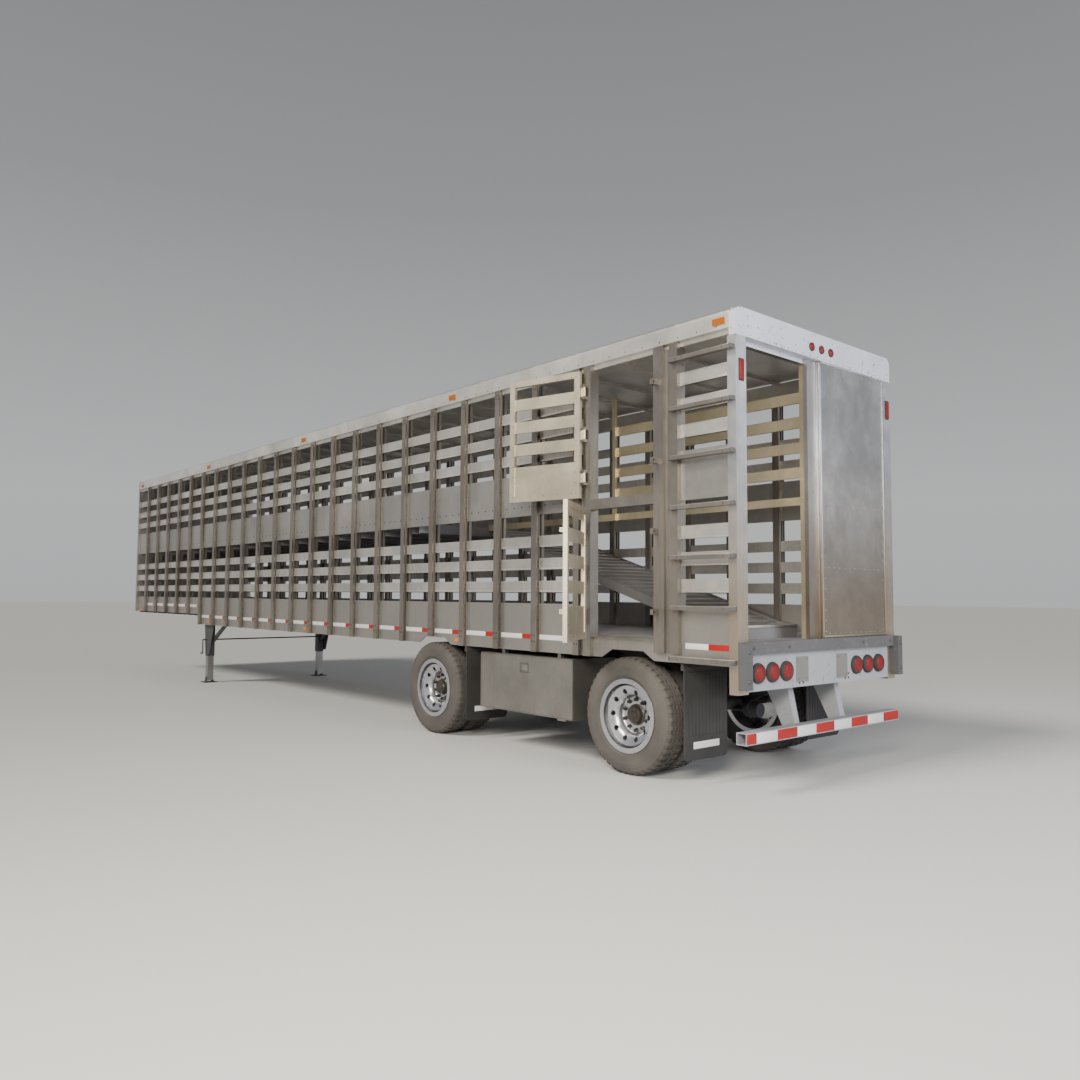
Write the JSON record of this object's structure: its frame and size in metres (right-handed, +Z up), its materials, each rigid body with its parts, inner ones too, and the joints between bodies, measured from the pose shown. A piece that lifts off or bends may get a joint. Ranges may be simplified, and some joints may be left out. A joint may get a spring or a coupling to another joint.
{
  "type": "livestock semitrailer",
  "caption": "Two-deck slatted aluminium livestock semitrailer with side and rear doors, an inner ramp, landing gear and spread tandem axles on dual wheels.",
  "frame": {"origin": "on the kingpin's axis at the lower face of the coupler plate, the point where the tractor's fifth wheel carries the trailer", "axes": "+X towards the nose, +Y towards the left-hand side with the two side doors, +Z up; the road is 1.22 m below the origin"},
  "size_m": [16.239, 3.3933, 4.11],
  "materials": {
    "roof_aluminium": "weathered mill finish",
    "wall_aluminium": "weathered mill finish with vertical streaks",
    "post_aluminium": "weathered, brownish grey",
    "header_paint": "light grey, chipped",
    "tread_aluminium": "ribbed tread plate, worn",
    "frame_steel": "dark grey satin",
    "bright_steel": "worn bright",
    "gate_aluminium": "warm weathered",
    "panel_aluminium": "mottled silver to bronze",
    "rear_steel": "mid grey",
    "bumper_steel": "dark grey, worn",
    "bright_aluminium": "bright tread",
    "red_lens": "gloss lens",
    "amber_lens": "gloss lens",
    "door_aluminium": "weathered mill finish",
    "box_aluminium": "dull",
    "flap_rubber": "matt black",
    "tyre_rubber": "dusty black",
    "wheel_aluminium": "polished, dusty"
  },
  "bodies": {
    "root": {"roof_sheet": "roof_aluminium", "roof_bows": "roof_aluminium", "top_rails": "roof_aluminium", "front_wall": "wall_aluminium", "rear_header": "header_paint", "side_posts_left": "post_aluminium", "side_posts_right": "post_aluminium", "slats_left": "wall_aluminium", "slats_right": "wall_aluminium", "belt_panels": "wall_aluminium", "kick_panels": "wall_aluminium", "side_rails": "wall_aluminium", "floor_plates": "tread_aluminium", "crossmembers": "frame_steel", "upper_deck": "tread_aluminium", "centre_gate": "gate_aluminium", "coupler_plate": "frame_steel", "kingpin": "bright_steel", "corner_posts": "post_aluminium", "side_door_frame": "post_aluminium", "rear_panel": "panel_aluminium", "sill_plate": "rear_steel", "corner_bumpers": "bumper_steel", "rear_guard": "rear_steel", "ladder_rungs": "bright_aluminium", "red_lamps": "red_lens", "amber_lamps": "amber_lens", "plate_brackets": "rear_steel", "tool_box": "box_aluminium", "mud_flaps": "flap_rubber", "flap_hangers": "frame_steel", "leg_housings": "frame_steel", "suspension_frame": "frame_steel", "front_air_springs": "flap_rubber", "rear_air_springs": "flap_rubber"},
    "upper_door": {"upper_door": "door_aluminium"},
    "lower_door": {"lower_door": "door_aluminium"},
    "upper_door_top_bolt": {"upper_door_top_bolt": "bright_steel"},
    "upper_door_bottom_bolt": {"upper_door_bottom_bolt": "bright_steel"},
    "lower_door_top_bolt": {"lower_door_top_bolt": "bright_steel"},
    "lower_door_bottom_bolt": {"lower_door_bottom_bolt": "bright_steel"},
    "slide_door": {"slide_door": "panel_aluminium"},
    "ramp": {"ramp": "tread_aluminium"},
    "tool_box_door": {"tool_box_door": "box_aluminium"},
    "tool_box_latch": {"tool_box_latch": "bright_steel"},
    "left_leg": {"left_leg": "bright_steel"},
    "left_foot": {"left_foot": "frame_steel"},
    "right_leg": {"right_leg": "bright_steel"},
    "right_foot": {"right_foot": "frame_steel"},
    "leg_crank": {"leg_crank": "frame_steel"},
    "front_axle": {"front_axle": "frame_steel"},
    "rear_axle": {"rear_axle": "frame_steel"},
    "front_left_wheel_set": {"front_left_tyres": "tyre_rubber", "front_left_wheels": "wheel_aluminium"},
    "front_right_wheel_set": {"front_right_tyres": "tyre_rubber", "front_right_wheels": "wheel_aluminium"},
    "rear_left_wheel_set": {"rear_left_tyres": "tyre_rubber", "rear_left_wheels": "wheel_aluminium"},
    "rear_right_wheel_set": {"rear_right_tyres": "tyre_rubber", "rear_right_wheels": "wheel_aluminium"}
  },
  "joints": [
    {"name": "upper_door_hinge", "type": "hinge", "parent": "root", "child": "upper_door", "pos_m": [-13.44, 1.328, 1.98], "axis": [0, 0, 1], "range_deg": [0, 166]},
    {"name": "lower_door_hinge", "type": "hinge", "parent": "root", "child": "lower_door", "pos_m": [-13.44, 1.328, 0.66], "axis": [0, 0, 1], "range_deg": [-110, 55]},
    {"name": "upper_door_top_bolt_slide", "type": "slide", "parent": "upper_door", "child": "upper_door_top_bolt", "axis": [0.9703, 0.2419, 0], "range_m": [0, 0.034]},
    {"name": "upper_door_bottom_bolt_slide", "type": "slide", "parent": "upper_door", "child": "upper_door_bottom_bolt", "axis": [0.9703, 0.2419, 0], "range_m": [0, 0.034]},
    {"name": "lower_door_top_bolt_slide", "type": "slide", "parent": "lower_door", "child": "lower_door_top_bolt", "axis": [-0.5736, 0.8192, 0], "range_m": [0, 0.034]},
    {"name": "lower_door_bottom_bolt_slide", "type": "slide", "parent": "lower_door", "child": "lower_door_bottom_bolt", "axis": [-0.5736, 0.8192, 0], "range_m": [0, 0.034]},
    {"name": "slide_door_travel", "type": "slide", "parent": "root", "child": "slide_door", "axis": [0, 1, 0], "range_m": [0, 0.985]},
    {"name": "ramp_hinge", "type": "hinge", "parent": "root", "child": "ramp", "pos_m": [-10.3064, 0, 1.31], "axis": [0, 1, 0], "range_deg": [0, 17.58]},
    {"name": "tool_box_hinge", "type": "hinge", "parent": "root", "child": "tool_box_door", "pos_m": [-12.45, 1.2475, -0.818], "axis": [-1, 0, 0], "range_deg": [0, 100]},
    {"name": "tool_box_paddle", "type": "hinge", "parent": "tool_box_door", "child": "tool_box_latch", "pos_m": [-12.45, 1.247, -0.3], "axis": [1, 0, 0], "range_deg": [0, 35], "stiffness_Nm_per_rad": 0.6},
    {"name": "left_leg_slide", "type": "slide", "parent": "root", "child": "left_leg", "axis": [0, 0, 1], "range_m": [0, 0.375]},
    {"name": "left_foot_pivot", "type": "hinge", "parent": "left_leg", "child": "left_foot", "pos_m": [-3.1, 1.1105, -1.148], "axis": [0, 1, 0], "range_deg": [-12, 12]},
    {"name": "right_leg_slide", "type": "slide", "parent": "root", "child": "right_leg", "axis": [0, 0, 1], "range_m": [0, 0.375]},
    {"name": "right_foot_pivot", "type": "hinge", "parent": "right_leg", "child": "right_foot", "pos_m": [-3.1, -1.1105, -1.148], "axis": [0, 1, 0], "range_deg": [-12, 12]},
    {"name": "leg_crank_turn", "type": "hinge", "parent": "root", "child": "leg_crank", "pos_m": [-3.1, 0, -0.43], "axis": [0, 1, 0], "range_deg": [0, 5316]},
    {"name": "front_suspension", "type": "hinge", "parent": "root", "child": "front_axle", "pos_m": [-10.235, 0, -0.607], "axis": [0, 1, 0], "range_deg": [-5, 4.5], "stiffness_Nm_per_rad": 300000, "springref_deg": -2.86, "deforming": ["front_air_springs"]},
    {"name": "front_left_wheel_spin", "type": "hinge", "parent": "front_axle", "child": "front_left_wheel_set", "pos_m": [-10.755, 0.9685, -0.677], "axis": [0, 1, 0], "continuous": true},
    {"name": "front_right_wheel_spin", "type": "hinge", "parent": "front_axle", "child": "front_right_wheel_set", "pos_m": [-10.755, -0.9685, -0.677], "axis": [0, 1, 0], "continuous": true},
    {"name": "rear_suspension", "type": "hinge", "parent": "root", "child": "rear_axle", "pos_m": [-13.425, 0, -0.607], "axis": [0, 1, 0], "range_deg": [-5, 4.5], "stiffness_Nm_per_rad": 300000, "springref_deg": -2.86, "deforming": ["rear_air_springs"]},
    {"name": "rear_left_wheel_spin", "type": "hinge", "parent": "rear_axle", "child": "rear_left_wheel_set", "pos_m": [-13.945, 0.9685, -0.677], "axis": [0, 1, 0], "continuous": true},
    {"name": "rear_right_wheel_spin", "type": "hinge", "parent": "rear_axle", "child": "rear_right_wheel_set", "pos_m": [-13.945, -0.9685, -0.677], "axis": [0, 1, 0], "continuous": true}
  ],
  "couplings": [
    {"joint": "right_leg_slide", "follows": "left_leg_slide", "ratio": 1},
    {"joint": "leg_crank_turn", "follows": "left_leg_slide", "rad_per_m": 247.37}
  ]
}
